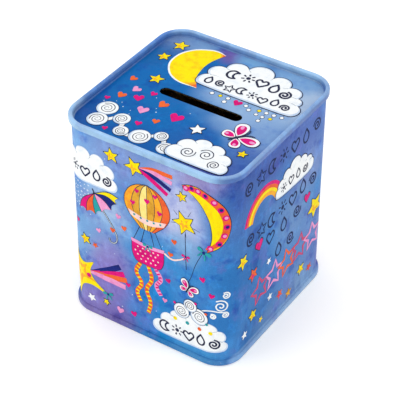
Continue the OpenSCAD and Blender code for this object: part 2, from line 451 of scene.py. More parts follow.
def ink(name):
    if name not in inks:
        main, pooled = inkTones[name]
        made = finish(name + "Ink")
        pools = made.cloudy(3.2, 4.0, rough=0.55)
        bristle = made.cloudy(0.7, 3.0, stretch=(1, 1, 0.35), rough=0.7)
        colour = made.mix(made.fade(pools, 0.44, 0.74, 0.0, 0.75), main, pooled)
        colour = made.mix(1.0, colour, (inkLimit, inkLimit, inkLimit, 1), "MULTIPLY")
        colour = made.mix(made.fade(bristle, 0.5, 0.75, 0.0, 0.35), colour, (255, 255, 255), "SOFT_LIGHT")
        made.paint(Base_Color=colour, Roughness=gloss(made), Coat_Weight=lacquer["coat"])
        made.paint(Coat_Roughness=lacquer["coatRoughness"], Specular_IOR_Level=lacquer["shine"])
        inks[name] = made.material
    return inks[name]


# the artwork is drawn flat in millimetres, as (run round the wall, height) or (x, y) on the lid,
# then laid on the tin
printing = {
    "lift": 0.03, "step": 0.024, "thick": 0.02, "merge": 0.0005, "sharpAngle": 25,
    "steps": 8, "cloudSteps": 13, "cornerStep": 0.8,
}


def knots(points):  # (x, y) is smooth, and a third item makes the point a corner
    return [(Vector((p[0], p[1], 0)), "VECTOR" if len(p) > 2 else "AUTO", None) for p in points]


def scallops(points):  # (x, y, bulge): each stretch to the next point swells outwards by its bulge
    made = []
    for i, here in enumerate(points):
        before, after = points[i - 1], points[(i + 1) % len(points)]
        co = Vector((here[0], here[1], 0))
        came = co - Vector((before[0], before[1], 0))
        goes = Vector((after[0], after[1], 0)) - co
        left = co + Vector((came.y, -came.x, 0)) * before[2] - came * 0.06
        right = co + Vector((goes.y, -goes.x, 0)) * here[2] + goes * 0.06
        made.append((co, "FREE", (left, right)))
    return made


def traced(line, closed=True, width=0.0, widths=None, steps=None):  # a filled outline, or a pen line
    data = bpy.data.curves.new("trace", "CURVE")
    data.dimensions = "3D" if width else "2D"
    data.resolution_u = steps or printing["steps"]
    if width:
        data.bevel_depth = width / 2
        data.bevel_resolution = 0
        data.use_fill_caps = True
    else:
        data.fill_mode = "BOTH"
        data.extrude = printing["thick"] / 2
    spline = data.splines.new("BEZIER")
    spline.bezier_points.add(len(line) - 1)
    spline.use_cyclic_u = closed
    for i, (point, (co, kind, handles)) in enumerate(zip(spline.bezier_points, line)):
        point.co = co
        point.handle_left_type = kind
        point.handle_right_type = kind
        if handles:
            point.handle_left, point.handle_right = handles
        if widths:
            point.radius = widths[i]
    holder = bpy.data.objects.new("trace", data)
    mesh = bpy.data.meshes.new_from_object(holder)
    bpy.data.objects.remove(holder)
    bpy.data.curves.remove(data)
    if width:
        mesh.transform(Matrix.Diagonal((1, 1, printing["thick"] / width, 1)))
    return mesh


class artwork:  # one printed piece: flat slabs of ink on rising layers, then laid on a wall or on the lid
    def __init__(self, name, side):
        self.name = name
        self.side = side
        self.bm = bmesh.new()
        self.inks = []

    def press(self, mesh, inkName, layer, place=None):
        if inkName not in self.inks:
            self.inks.append(inkName)
        start = len(self.bm.faces)
        shape = bmesh.new()
        shape.from_mesh(mesh)
        bmesh.ops.remove_doubles(shape, verts=shape.verts, dist=printing["merge"])
        bmesh.ops.dissolve_degenerate(shape, edges=shape.edges, dist=printing["merge"])
        shape.to_mesh(mesh)
        shape.free()
        lift = printing["lift"] + layer * printing["step"] + printing["thick"] / 2
        mesh.transform(Matrix.Translation((0, 0, lift)) @ (place or Matrix.Identity(4)))
        self.bm.from_mesh(mesh)
        self.bm.faces.ensure_lookup_table()
        for face in self.bm.faces[start:]:
            face.material_index = self.inks.index(inkName)
        bpy.data.meshes.remove(mesh)

    def fill(self, line, inkName, layer, place=None, steps=None):
        self.press(traced(line, steps=steps), inkName, layer, place)

    def pen(self, line, inkName, layer, width, closed=True, widths=None, place=None, steps=None):
        self.press(traced(line, closed, width, widths, steps), inkName, layer, place)

    def lay(self):
        bm = self.bm
        if self.side == "wall":
            self.crease()
        put = onWall if self.side == "wall" else onLid
        for vert in bm.verts:
            vert.co = put(*vert.co) / 1000
        bmesh.ops.recalc_face_normals(bm, faces=bm.faces)  # still leaves some of the bent slabs inside out
        mesh = bpy.data.meshes.new(self.name)
        bm.to_mesh(mesh)
        bm.free()
        for name in self.inks:
            mesh.materials.append(ink(name))
        mesh.shade_smooth()
        mesh.set_sharp_from_angle(angle=math.radians(printing["sharpAngle"]))
        piece = bpy.data.objects.new(self.name, mesh)
        bpy.context.scene.collection.objects.link(piece)
        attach(piece, "tin")

    def crease(self):  # cuts where the sheet turns the rounded corners, so that the shapes follow them
        bm = self.bm
        low = min(v.co.x for v in bm.verts)
        high = max(v.co.x for v in bm.verts)
        starts = [flatX, flatX + cornerRun + 2 * flatY]
        starts += [-start - cornerRun for start in starts]
        count = math.ceil(cornerRun / printing["cornerStep"])
        for start in starts:
            for i in range(count + 1):
                at = start + cornerRun * i / count
                if low < at < high:
                    everything = bm.verts[:] + bm.edges[:] + bm.faces[:]
                    bmesh.ops.bisect_plane(
                        bm, geom=everything, dist=1e-5, plane_co=(at, 0, 0), plane_no=(1, 0, 0),
                    )


def scaled(x, y):
    return Matrix.Diagonal((x, y, 1, 1))


def spot(x, y, turn=0.0, size=1.0):
    return Matrix.Translation((x, y, 0)) @ Matrix.Rotation(math.radians(turn), 4, "Z") @ scaled(size, size)


def around(x, y, angle, reach):
    return (x + math.cos(angle) * reach, y + math.sin(angle) * reach)


def slab(bm):  # gives a flat bmesh shape the ink's thickness and hands it over as a mesh
    sides = bmesh.ops.extrude_face_region(bm, geom=bm.faces[:])
    raised = [item for item in sides["geom"] if isinstance(item, bmesh.types.BMVert)]
    bmesh.ops.translate(bm, verts=raised, vec=(0, 0, printing["thick"]))
    bmesh.ops.translate(bm, verts=bm.verts, vec=(0, 0, -printing["thick"] / 2))
    mesh = bpy.data.meshes.new("slab")
    bm.to_mesh(mesh)
    bm.free()
    return mesh


def disc(radius, sides=20):
    bm = bmesh.new()
    bmesh.ops.create_circle(bm, cap_ends=True, segments=sides, radius=radius)
    return slab(bm)


def uneven(most):  # how far each of a painted star's five points and five waists strays, as a share
    return [1 + hand.uniform(-most, most) for _ in range(10)]


def starSlab(radius, waist, strays, rounding=0.1):
    bm = bmesh.new()
    made = bmesh.ops.create_circle(bm, cap_ends=True, segments=len(strays), radius=radius)["verts"]
    bmesh.ops.rotate(bm, verts=made, matrix=Matrix.Rotation(math.radians(90), 3, "Z"))
    for i, vert in enumerate(made):
        vert.co *= (waist if i % 2 else 1.0) * strays[i]
    tips = made[::2]
    bmesh.ops.bevel(
        bm, geom=tips, offset=rounding * radius, segments=3, profile=0.5, affect="VERTICES", material=-1,
    )
    return slab(bm)


# the motifs: each draws on the artwork it is given, and layer counts upwards from the tin


def stroke(art, points, inkName, layer, width, widths=None):  # an open pen line
    art.pen(knots(points), inkName, layer, width, closed=False, widths=widths)


def patch(art, points, inkName, layer):
    art.fill(knots(points), inkName, layer)


def linedStroke(art, points, inkName, width, edge):
    stroke(art, points, "pen", 0, width + edge)
    stroke(art, points, inkName, 1, width)


def each(art, motif, places, *same):  # one motif at several places
    for place in places:
        motif(art, *place, *same)


def dot(art, x, y, radius, inkName, layer, edge=None):
    if edge:
        art.press(disc(radius + 0.22), edge, layer, spot(x, y))
    art.press(disc(radius), inkName, layer + 1, spot(x, y))


starLook = {"waist": 0.46, "uneven": 0.07, "shadeUneven": 0.2, "edge": 0.24, "rayWidth": 0.22}


def star(art, x, y, radius, turn, layer, rays=0, inkName="yellow", shade="amber", edge="pen"):
    look = starLook
    strays = uneven(look["uneven"])
    if edge:
        rim = radius + 2.2 * look["edge"]
        waist = (look["waist"] * radius + 1.2 * look["edge"]) / rim
        art.press(starSlab(rim, waist, strays, 0.07), edge, layer, spot(x, y, turn))
    art.press(starSlab(radius, look["waist"], strays), inkName, layer + 1, spot(x, y, turn))
    if shade:
        place = spot(x - radius * 0.06, y - radius * 0.1, turn + 8)
        art.press(starSlab(radius * 0.5, 0.4, uneven(look["shadeUneven"])), shade, layer + 2, place)
        place = spot(x + radius * 0.05, y + radius * 0.05, turn)
        art.press(starSlab(radius * 0.24, 0.5, uneven(look["shadeUneven"])), inkName, layer + 3, place)
    for i in range(rays):
        angle = math.radians(turn + 90 + 360 * (i + 0.5) / rays + hand.uniform(-8, 8))
        ends = radius * 0.75, radius * hand.uniform(1.15, 1.4)
        ray = [around(x, y, angle, reach) for reach in ends]
        stroke(art, ray, "pen", layer, look["rayWidth"], (1.0, 0.4))


def stars(art, places, swing, edgeFrom, layer, onOrange="amber"):  # large ones are edged, white ones unshaded
    for x, y, radius, inkName in places:
        shade = {"white": None, "orange": onOrange}.get(inkName, "amber")
        edge = "pen" if radius > edgeFrom else None
        star(art, x, y, radius, hand.uniform(-swing, swing), layer, 0, inkName, shade, edge)


def softStar(art, x, y, turn, reaches, layer):  # a painted star with long uneven arms
    for share, swing, inkName in ((1.0, 0, "yellow"), (0.56, 6, "amber"), (0.3, -4, "yellow")):
        line = []
        for i, reach in enumerate(reaches):
            angle = math.radians(turn + swing + 72 * i)
            beside = reaches[(i + 1) % len(reaches)]
            line.append((*around(x, y, angle, reach * share), 0))
            line.append(around(x, y, angle + math.radians(36), 0.22 * (reach + beside) * share))
        patch(art, line, inkName, layer)
        layer += 1


def starLine(x, y, reach, waist):  # the ten corners of a star drawn with the pen
    shares = [waist if k % 2 else 1 for k in range(10)]
    return [(x + math.sin(k * math.pi / 5) * reach * share, y + math.cos(k * math.pi / 5) * reach * share, 0)
            for k, share in enumerate(shares)]


def starChain(art, places, radius=6.9, width=1.6):  # outlined stars, each reaching over the one before
    for i, (x, y, turn, inkName) in enumerate(places):
        art.pen(knots(starLine(0, 0, radius, 0.48)), inkName, 0.3 * i, width, place=spot(x, y, turn))


heartOutline = [(0, -1.05, 0), (0.62, -0.36), (0.98, 0.3), (0.56, 0.82), (0, 0.42, 0), (-0.56, 0.82),
                (-0.98, 0.3), (-0.62, -0.36)]


def heart(art, x, y, size, turn, inkName, layer, edge=None):
    if edge:
        art.fill(knots(heartOutline), edge, layer, spot(x, y, turn, size * 1.18))
    art.fill(knots(heartOutline), inkName, layer + 1, spot(x, y, turn, size))


def hearts(art, places, swing, layer, choice=()):  # each has an ink of its own or one of the choice
    for x, y, size, *own in places:
        turn = hand.uniform(-swing, swing)
        heart(art, x, y, size, turn, own[0] if own else hand.choice(choice), layer)


def speck(art, x, y, radius, sides):  # lies under every other layer
    art.press(disc(radius, sides), "mist", -0.5, spot(x, y))


def rain(art, x, y, apart, count, least):  # loose rows of pale drops under a cloud
    for i in range(count):
        dropX = x + apart * (i % 6) + hand.uniform(-0.5, 0.5)
        dropY = y - 2 * (i // 6) + hand.uniform(-0.5, 0.5)
        speck(art, dropX, dropY, hand.uniform(least, 0.5), 10)


def specks(art, count, across, along, sizes):
    for _ in range(count):
        speck(art, hand.uniform(*across), hand.uniform(*along), hand.uniform(*sizes), 8)


def sizedSpecks(art, count, sizes, across, along):  # the size is drawn before the place
    for _ in range(count):
        radius = hand.uniform(*sizes)
        speck(art, hand.uniform(*across), hand.uniform(*along), radius, 8)


cloudLook = {"edge": 0.8, "bodyShare": (0.965, 0.94), "bodyRise": 0.25, "mark": 0.36}


def cloud(art, outline, layer, edged=True):  # (x, y, bulge) round it, the flat foot first
    look, steps = cloudLook, printing["cloudSteps"]
    line = scallops(outline)
    middle = sum((co for co, _, _ in line), Vector()) / len(line)
    if edged:
        art.pen(line, "pen", layer, look["edge"], steps=steps)
    art.fill(line, "mist", layer + 1, steps=steps)
    raised = Matrix.Translation(middle + Vector((0, look["bodyRise"], 0)))
    inset = raised @ scaled(*look["bodyShare"]) @ Matrix.Translation(-middle)
    art.fill(line, "white", layer + 2, inset, steps)
    for i, (co, _, _) in enumerate(line):  # fine pen marks that run in where two lobes meet
        if outline[i][2] > 0.3 and outline[i - 1][2] > 0.3:
            ways = [co.lerp(middle, share) for share in (0.02, 0.12, 0.2)]
            ways[1] += Vector((0.3, 0.25, 0))
            stroke(art, ways, "silver", layer + 3, look["mark"], (1.0, 0.8, 0.2))


def spiral(x, y, radius, turns, turn):
    count = int(turns * 8)
    shares = [i / count for i in range(count + 1)]
    return [
        around(x, y, math.radians(turn) + s * turns * 2 * math.pi, radius * (0.12 + 0.88 * s))
        for s in shares
    ]


def curl(art, x, y, radius, turn, turns, inkName, layer, width):
    stroke(art, spiral(x, y, radius, turns, turn), inkName, layer, width)


puffLook = {"edge": 0.2, "body": 0.9, "curl": 0.76, "turns": 2.4, "width": 0.32}


def puff(art, x, y, radius, turn, layer):  # a round white curl of cloud with a spiral pen line
    look = puffLook
    art.press(disc(radius + look["edge"], 40), "pen", layer, spot(x, y))
    art.press(disc(radius, 40), "mist", layer + 1, spot(x, y))
    art.press(disc(radius * look["body"], 40), "white", layer + 2, spot(x + radius * 0.05, y + radius * 0.05))
    inner = spiral(x, y, radius * look["curl"], look["turns"], turn)
    widths = [0.5 + 0.7 * i / len(inner) for i in range(len(inner))]
    stroke(art, inner, "pen", layer + 3, look["width"], widths)


def ribbons(art, start, ways, width):  # strokes fanned out from a point, each (bend x, y, end x, y, ink)
    for i, (bendX, bendY, endX, endY, inkName) in enumerate(ways):
        stroke(art, [start, (bendX, bendY), (endX, endY)], inkName, 0.3 * i, width, (0.45, 1.0, 0.9))


def bow(art, x, y, size, turn, inkName, layer):
    loop = [(0.02, 0, 0), (0.7, 0.62), (1.5, 0.6), (1.45, -0.1), (0.7, -0.12)]
    tail = [(0, 0), (0.5, -0.8), (0.9, -1.7)]
    for side in (1, -1):
        place = spot(x, y, turn) @ scaled(side * size, size)
        art.fill(knots(loop), inkName, layer + 1, place)
        art.pen(knots(tail), inkName, layer, 0.42, False, (0.7, 1.0, 0.6), place)
    art.press(disc(0.36 * size), "navy", layer + 2, spot(x, y))


def sharpEnds(points):
    return [(*points[0], 0)] + points[1:-1] + [(*points[-1], 0)]


def crescent(art, outer, inner, layer, halo=True):  # a moon between its back and its hollow side
    line = knots(sharpEnds(outer) + inner)
    if halo:
        stroke(art, outer, "white", layer, 1.5, [0.3] + [1.0] * (len(outer) - 2) + [0.3])
    else:
        art.pen(line, "pen", layer, 0.6)
    art.fill(line, "yellow", layer + 1)
    for corners in ((outer[0], outer[1], inner[-1]), (outer[-1], outer[-2], inner[0])):
        end, beside, across = (Vector(corner) for corner in corners)
        for share, inkName, rise in ((0.7, "amber", 2), (0.4, "orange", 3)):
            near, far = end.lerp(beside, share), end.lerp(across, share)
            middle = (near + far) / 2
            loop = [(*end, 0), (*near, 0), middle + (end - middle) * 0.2, (*far, 0)]
            patch(art, loop, inkName, layer + rise)


bandLook = {"width": 3.0, "inset": 1.5, "beads": 11, "bead": 1.35, "eye": 0.75}


def bandedMoon(art, outer, inner, centre):  # a crescent whose back wears an orange band with round beads
    look = bandLook
    crescent(art, outer, inner, 2, halo=False)
    middle = Vector(centre)
    band = [Vector(point) + (middle - Vector(point)).normalized() * look["inset"] for point in outer]
    last = len(outer) - 1
    stroke(art, band, "orange", 5, look["width"], [0.25, 0.8] + [1.0] * (last - 3) + [0.8, 0.25])
    for i in range(look["beads"]):
        share = (i + 0.5) / look["beads"] * last
        k = int(share)
        at = band[k].lerp(band[k + 1], share - k)
        away = (at - middle).normalized()
        art.press(disc(look["bead"], 14), "magenta", 6, spot(*(at + away * 0.3)))
        art.press(disc(look["eye"], 14), "navy" if i % 2 else "pink", 7, spot(*(at + away * 0.5)))


def moonArcs(x, y, radius, face, bite):  # the two sides of a crescent whose back faces one way, in degrees
    outer = [around(x, y, math.radians(face - 112 + 32 * i), radius) for i in range(8)]
    reaches = [radius * (1 - bite * math.sin(math.pi * i / 5)) for i in range(1, 5)]
    inner = [
        around(x, y, math.radians(face + 112 - 224 * (i + 1) / 5), reach)
        for i, reach in enumerate(reaches)
    ]
    return outer, inner


def umbrella(art, apex, feet, colours, layer):  # one curved panel between each two feet
    top = Vector(apex)
    middle = sum((Vector(foot) for foot in feet), Vector((0, 0))) / len(feet)
    ribs = []
    for foot in feet:
        foot = Vector(foot)
        ribs.append([top, (top + foot) / 2 + (foot - middle) * 0.16 + (top - middle) * 0.1, foot])
        stroke(art, ribs[-1], "pen", layer + 3, 0.26)
    for i, inkName in enumerate(colours):
        (_, bendA, a), (_, bendB, b) = ribs[i], ribs[i + 1]
        hem = (a + b) / 2 + (top - (a + b) / 2) * 0.1
        patch(art, [(*top, 0), bendA, (*a, 0), hem, (*b, 0), bendB], inkName, layer + 1 + i % 2)
    art.press(disc(0.5), "pen", layer + 4, spot(*apex))


def butterfly(art, x, y, size, turn, layer):  # two large and two small wings, each a mirrored pair
    wing = knots([(0.06, 0, 0), (0.46, 0.48), (0.84, 0.5), (1, 0.06), (0.8, -0.36), (0.44, -0.32)])
    feeler = knots([(0.02, 0.3), (0.08, 0.56), (0.24, 0.72)])
    body = knots([(0, -0.36), (0, 0), (0, 0.34)])
    whole = spot(x, y, turn, size)
    for side in (1, -1):
        half = whole @ scaled(side, 1)
        for length, width, swing in ((1.0, 0.62, 38), (0.68, 0.5, -34)):
            place = half @ Matrix.Rotation(math.radians(swing), 4, "Z") @ scaled(length, width)
            art.pen(wing, "pen", layer, 0.09, place=place)
            art.fill(wing, "white", layer + 1, place)
            art.fill(wing, "magenta", layer + 2, place @ spot(0.1, 0.01) @ scaled(0.76, 0.68))
            art.press(disc(0.13, 12), "pink", layer + 3, place @ spot(0.72, 0.06))
        art.pen(feeler, "pen", layer + 2, 0.05, closed=False, place=half)
    art.pen(body, "pen", layer + 4, 0.15, closed=False, widths=(0.4, 1.0, 0.7), place=whole)


doodleKinds = ["star", "curl", "drop", "heart", "sun", "moon"]


def doodles(art, places, size, inkName, layer, width):  # small pen ornaments in a row
    half = size / 2
    for i, (x, y) in enumerate(places):
        kind = doodleKinds[(i * 5 + len(places)) % len(doodleKinds)]
        if kind == "star":
            art.pen(knots(starLine(x, y, half, 0.45)), inkName, layer, width)
        elif kind == "curl":
            curl(art, x, y, half * 0.85, 40 * i, 1.8, inkName, layer, width)
        elif kind == "drop":
            side = half * 0.55
            low = y - half * 0.25
            drop = [(x, y + half, 0), (x + side, low), (x, y - half * 0.8), (x - side, low)]
            art.pen(knots(drop), inkName, layer, width)
        elif kind == "heart":
            place = spot(x, y, hand.uniform(-15, 15), half * 0.8)
            art.pen(knots(heartOutline), inkName, layer, width / (half * 0.8), place=place)
        elif kind == "sun":
            art.press(disc(half * 0.3), inkName, layer, spot(x, y))
            for k in range(7):
                ray = [around(x, y, k * 2 * math.pi / 7, half * share) for share in (0.5, 0.9)]
                stroke(art, ray, inkName, layer, width * 0.8)
        else:
            rim = [around(x, y, angle, half * 0.85) for angle in (0.9, 2.0, 3.2, 4.4, 5.4)]
            bite = [(x + half * 0.1, y - half * 0.35), (x + half * 0.1, y + half * 0.35)]
            art.pen(knots(sharpEnds(rim) + bite), inkName, layer, width)


def doodleRow(art, y, start, end, count, size, inkName, width):
    places = [(start + (end - start) * i / (count - 1), y + hand.uniform(-0.8, 0.8)) for i in range(count)]
    doodles(art, places, size, inkName, 0, width)


def gores(art, middle, profile, colours):  # a hot-air balloon's cloth between (height, half width) stations
    shares = [-1 + 2 * i / len(colours) for i in range(len(colours) + 1)]
    sides = [[(middle + share * width, z) for z, width in profile] for share in shares]
    for i, inkName in enumerate(colours):
        left, right = sides[i], sides[i + 1][::-1]
        patch(art, sharpEnds(left) + sharpEnds(right), inkName, i % 2)
        stroke(art, left, "pen", 2, 0.26)
    stroke(art, sides[-1], "pen", 2, 0.26)


def cords(art, top, foot, pairs):  # from the balloon to its basket
    for high, low in pairs:
        stroke(art, [(high, top), (low, foot)], "pen", 0, 0.3)


def basket(art, outline, inkName):
    art.pen(knots(outline), "pen", 0, 0.6)
    patch(art, outline, inkName, 1)


def basketDots(art, middle, low):
    for i in range(24):
        x, y = middle - 5.9 + 2.4 * (i % 6) + 1.2 * (i // 6 % 2), low + 2 * (i // 6)
        if abs(x - middle) < 5.4 + (y - low + 0.4) * 0.12:
            place = spot(x + hand.uniform(-0.2, 0.2), y + hand.uniform(-0.2, 0.2))
            art.press(disc(0.42, 10), "blush", 2, place)


def streamer(art, way, inkName, bands):  # a hanging ribbon with short bands across it
    stroke(art, way, inkName, 0, 1.9)
    for start, end in zip(way, way[1:]):
        span = Vector(end) - Vector(start)
        across = Vector((-span.y, span.x)).normalized() * 0.85
        for k in range(3):
            at = Vector(start) + span * (k + 0.5) / 3
            stroke(art, [at - across, at + across], bands, 1, 0.7)


def rainbow(art, x, y, bands, start, end, width):  # (radius, ink) bands between two angles
    for i, (radius, inkName) in enumerate(bands):
        line = [around(x, y, math.radians(start + (end - start) * k / 8), radius) for k in range(9)]
        stroke(art, line, inkName, 0.3 * i, width)


def beads(art, places):  # round beads that hang on short threads
    for x, y, inkName in places:
        dot(art, x, y, hand.uniform(0.7, 0.85), inkName, 0, "pen")
        stroke(art, [(x, y + 0.8), (x, y + 2)], "pen", 0, 0.16)


def pressPiece(name, side, look):  # one printed piece: each entry of its look is a motif and what it takes
    art = artwork(name, side)
    for motif, *given in look.values():
        motif(art, *given)
    art.lay()


pressPiece("frontCloud", "wall", {
    "cloud": (cloud, [(-42, 69.5, 0.04), (-15, 68.4, 0.55), (-14.8, 74.4, 0.55), (-18.6, 80, 0.6),
        (-25.2, 81.8, 0.62), (-33, 81.4, 0.5), (-39, 77.5, 0.5), (-44, 72.5, 0.4)], 0, False),
    "doodles": (doodles, [(-39.3, 73.6), (-33.6, 74.6), (-28, 73.6), (-22.4, 73.6), (-17.6, 72.6)],
        5.6, "pen", 4, 0.75),
    "rain": (rain, -36, 66.5, 1.75, 40, 0.28),
})
pressPiece("frontShootingStar", "wall", {
    "tail": (ribbons, (-2.5, 85.4), [(4, 87.4, 13.5, 87.8, "orange"), (5, 86.2, 13.3, 84.8, "pink"),
        (4, 84.6, 12.7, 81.2, "navy"), (3, 83.0, 11.2, 78.4, "magenta")], 2.1),
    "star": (star, -4.3, 85.5, 4.2, 10, 2),
    "companion": (star, -15, 86.5, 3.4, -8, 2),
})
pressPiece("frontUmbrella", "wall", {
    "pole": (linedStroke, [(-22.5, 60), (-18, 54.5), (-15, 50), (-13.5, 46), (-14.4, 43), (-16.6, 42.6),
        (-17.4, 44.4)], "silver", 0.45, 0.4),
    "cover": (umbrella, (-24, 64.3), [(-31.8, 54.3), (-28.2, 53.6), (-23.8, 53.8), (-20.6, 56.3),
        (-15.8, 59.3), (-13.2, 63.4), (-12.2, 66.7)], ["magenta", "orange", "teal", "pink", "navy", "yellow"],
        2),
    "tip": (stroke, [(-24, 64.3), (-24.8, 66.2)], "pen", 2, 0.6),
})
pressPiece("frontBalloon", "wall", {
    "gores": (gores, 1.5, [(79, 0.3), (77.2, 5.4), (73.5, 9.2), (68, 10.8), (62.5, 8.8), (58.5, 5.2),
        (56.6, 3.2)], ["amber", "gold", "cream", "gold", "amber", "orange"]),
    "band": (patch, [(-7.6, 64, 0), (1.5, 62.2), (10.6, 64, 0), (9.4, 61.4, 0), (1.5, 59.4), (-6.4, 61.4, 0)],
        "blush", 3),
    "hearts": (hearts, [(-3.2, 74.4, 1.1, "magenta"), (5.4, 75, 1.1, "magenta"), (-5.2, 68, 1.2, "magenta"),
        (7.4, 67.6, 1.2, "magenta"), (1.6, 71.2, 1.3, "magenta")], 15, 3),
    "bandDots": (each, dot, [(-4.6 + 3.1 * i, 61.6 + 0.16 * (i - 2) ** 2, 0.5) for i in range(5)], "teal", 4),
    "cords": (cords, 57, 49.4, [(-2.2, -5.4), (0.2, -1.6), (2.8, 4.6), (5.2, 8.4)]),
    "basket": (basket, [(-6.2, 49.4, 0), (1.5, 48.6), (9.2, 49.4, 0), (7.8, 39.8), (6, 38.6, 0),
        (-3, 38.6, 0), (-4.8, 39.8)], "magenta"),
    "basketDots": (basketDots, 1.5, 40.4),
    "rim": (patch, [(-6.5, 49.9, 0), (1.5, 49.1), (9.5, 49.9, 0), (9.2, 48.2, 0), (1.5, 47.4),
        (-6.2, 48.2, 0)], "pink", 3),
    "bow": (bow, 1.5, 48.4, 1.5, 0, "teal", 4),
})
pressPiece("frontStreamers", "wall", {
    "left": (streamer, [(-2.2, 38.4), (-4.4, 33), (-1.8, 27.6), (-4.2, 22), (-2.4, 17.6)],
        "orange", "yellow"),
    "middle": (streamer, [(1.5, 38.4), (3.2, 32), (0.6, 25.4), (2.4, 19), (1.2, 13)], "orange", "yellow"),
    "right": (streamer, [(5.2, 38.4), (7.6, 34), (5.4, 29.6), (7.6, 25.4)], "pink", "magenta"),
})
pressPiece("frontWand", "wall", {
    "ribbon": (stroke, [(9.4, 48.6), (13, 47.2), (16.2, 48.4), (19.6, 51)],
        "blush", 1, 0.9, (1.0, 1.0, 0.8, 0.5)),
    "stick": (stroke, [(19.3, 63), (19.5, 54), (19.8, 45)], "pen", 0, 0.3),
    "hearts": (each, heart, [(-15.5, 49.2, 1.3, 0), (-9.8, 52.6, 1.3, 10), (14.2, 56.6, 1.3, 10),
        (12.4, 49.4, 1.3, -10)], "orange", 2),
    "star": (star, 18.8, 68, 5.6, 6, 1, 5),
    "string": (stroke, [(17.8, 82), (18.2, 86.3)], "pen", 0, 0.22),
    "hangingStar": (star, 17.8, 80.4, 2.5, 0, 1),
    "bow": (bow, 19.6, 51.4, 1.2, 0, "magenta", 3),
})
pressPiece("frontMoon", "wall", {
    "moon": (bandedMoon, [(18, 86.2), (22.4, 87.6), (27.4, 87.2), (33.6, 83.8), (37.6, 77.6), (38.4, 70),
        (35.4, 63), (29.5, 58.3)], [(31.2, 63.6), (31.2, 70), (29.2, 76.4), (25.0, 81.8)], (24, 72)),
    "string": (stroke, [(27.5, 57), (25.6, 53), (24, 49), (21.6, 41), (19.5, 37)], "pen", 0, 0.24),
    "bow": (bow, 28, 57.5, 2.0, -20, "teal", 8),
})
pressPiece("frontBigStar", "wall", {
    "tail": (ribbons, (-28, 21.5), [(-22, 24.5, -12.5, 31, "navy"), (-21, 23.6, -10.5, 28, "magenta"),
        (-20, 22.8, -9.2, 25.3, "orange"), (-20, 21.6, -10, 21.3, "pink")], 2.9),
    "star": (softStar, -33.4, 20, -27, [16, 10.5, 14, 14, 15], 3),
    "dot": (dot, -28.6, 19.4, 1.1, "magenta", 6),
    "bow": (bow, -19, 13.2, 1.6, 10, "teal", 6),
})
pressPiece("frontLowCloud", "wall", {
    "cloud": (cloud, [(5, 6, 0.04), (36, 7, 0.55), (36.5, 12.2, 0.45), (34, 18, 0.5), (27, 19.6, 0.45),
        (19, 19.3, 0.5), (12, 17.5, 0.5), (8, 12.2, 0.6)], 0, False),
    "doodles": (doodles, [(9.6, 10.4), (15.4, 10.8), (21, 10.4), (26.8, 11), (32.6, 10.8)],
        6.2, "pen", 4, 0.8),
    "dots": (each, dot, [(14.5, 16.9, 0.9, "yellow"), (26.2, 16.8, 0.9, "orange"),
        (31.2, 16.6, 0.9, "yellow"), (20.4, 17.2, 0.9, "teal")], 5),
})
pressPiece("frontPuffs", "wall", {
    "curls": (each, curl, [(35.2, 31.5, 3.2), (37.3, 37, 1.8), (37, 26.8, 1.6), (32, 25.8, 1.4)],
        200, 1.8, "white", 0, 0.6),
    "stem": (stroke, [(26, 26.5), (31, 28.6), (36, 28.3)], "white", 0, 0.6),
    "puffs": (each, puff, [(26, 23.2, 4.0, 30, 6), (17.6, 22.6, 3.6, 200, 6), (21.8, 27.2, 3.0, 90, 10)]),
    "dots": (each, dot, [(14.4, 25.6, 0.62, "magenta"), (29.6, 21, 0.62, "teal"),
        (29.2, 26.4, 0.62, "orange"), (24.4, 29.6, 0.62, "magenta")], 14),
    "butterfly": (butterfly, 20.6, 35.2, 5.4, -24, 9),
})
pressPiece("frontScatter", "wall", {
    "hearts": (hearts, [(-12.5, 57.5, 1.3), (-22.5, 46, 1.2), (27.5, 43.5, 1.4), (31.5, 36.5, 1.3),
        (11.3, 35.2, 1.2), (-8.6, 23.4, 1.2), (-13, 7.5, 1.8), (-6, 8.9, 1.5), (-34, 46, 1.2),
        (9.5, 24, 1.2)], 22, 3, ["magenta", "magenta", "pink"]),
    "star": (star, -29.5, 38.5, 2.7, 0, 3),
    "orangeStar": (star, -24.6, 37.2, 1.6, 20, 3, 0, "orange", None, None),
    "whiteStar": (star, -27.7, 7.5, 2.4, 12, 3, 0, "white", None, None),
    "lowStar": (star, -20, 8.6, 1.7, 30, 3),
    "specks": (specks, 26, (-38, 16), (8, 90), (0.16, 0.3)),
})
print("front wall printed")

pressPiece("rightRainbow", "wall", {
    "rainbow": (rainbow, 60.5, 63.4, [(13.9, "magenta"), (12.4, "orange"), (10.9, "yellow"), (9.5, "amber")],
        170, 26, 1.75),
    "cloud": (cloud, [(70.5, 65, 0.04), (96, 63.6, 0.5), (97, 69.2, 0.5), (92.8, 70.8, 0.5), (87.8, 74, 0.55),
        (79.5, 74.2, 0.55), (74.5, 71.8, 0.5), (70.5, 69.5, 0.5)], 2),
    "doodles": (doodles, [(75, 68), (80.6, 68.4), (86.2, 68.2), (91.6, 67.4)], 5, "pen", 7, 0.6),
})
pressPiece("rightDoodles", "wall", {
    "rows": (each, doodleRow, [(83.5, 49, 100, 7), (57.6, 51, 99, 7), (48.5, 66, 87, 3), (38, 73, 82.5, 2)],
        7.4, "dusk", 0.85),
})
pressPiece("rightStars", "wall", {
    "chain": (starChain, [(59.4, 26, 8, "rose"), (70.4, 26.4, -6, "pink"), (80.6, 26, 10, "orange"),
        (90.8, 26.6, -9, "rose"), (101.2, 26, 5, "pink")]),
})
